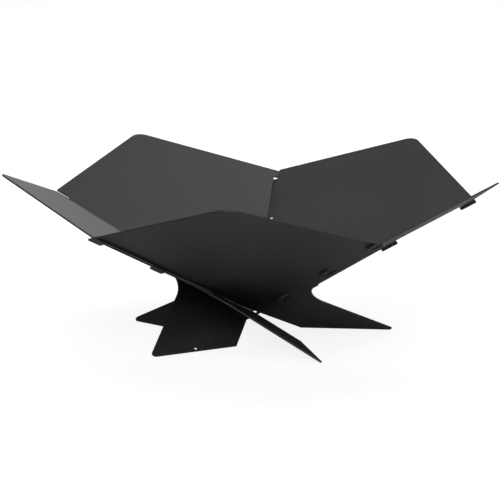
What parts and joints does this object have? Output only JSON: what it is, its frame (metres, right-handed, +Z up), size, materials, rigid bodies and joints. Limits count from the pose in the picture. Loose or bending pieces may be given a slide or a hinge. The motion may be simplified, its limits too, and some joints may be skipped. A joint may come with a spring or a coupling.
{
  "type": "fire pit",
  "caption": "Flat-pack bowl fire pit of hooked-together flat steel plates with pointed rims and splayed legs, matt black.",
  "frame": {"origin": "on the ground (the feet rest on z = 0), under the middle of the bounding box. The ring's vertical five-fold axis stands 17.5 mm from it towards +Y, at x = 0", "axes": "+Z up, out of the bowl. front_plate, the one that faces the camera in the picture, looks towards -Y and its level direction is X; right_plate is next towards +X"},
  "size_m": [0.6734, 0.6704, 0.2399],
  "materials": {
    "black_powder_coat": "matt"
  },
  "bodies": {
    "root": {"front_plate": "black_powder_coat", "right_plate": "black_powder_coat", "back_right_plate": "black_powder_coat", "back_left_plate": "black_powder_coat", "left_plate": "black_powder_coat"}
  },
  "joints": []
}
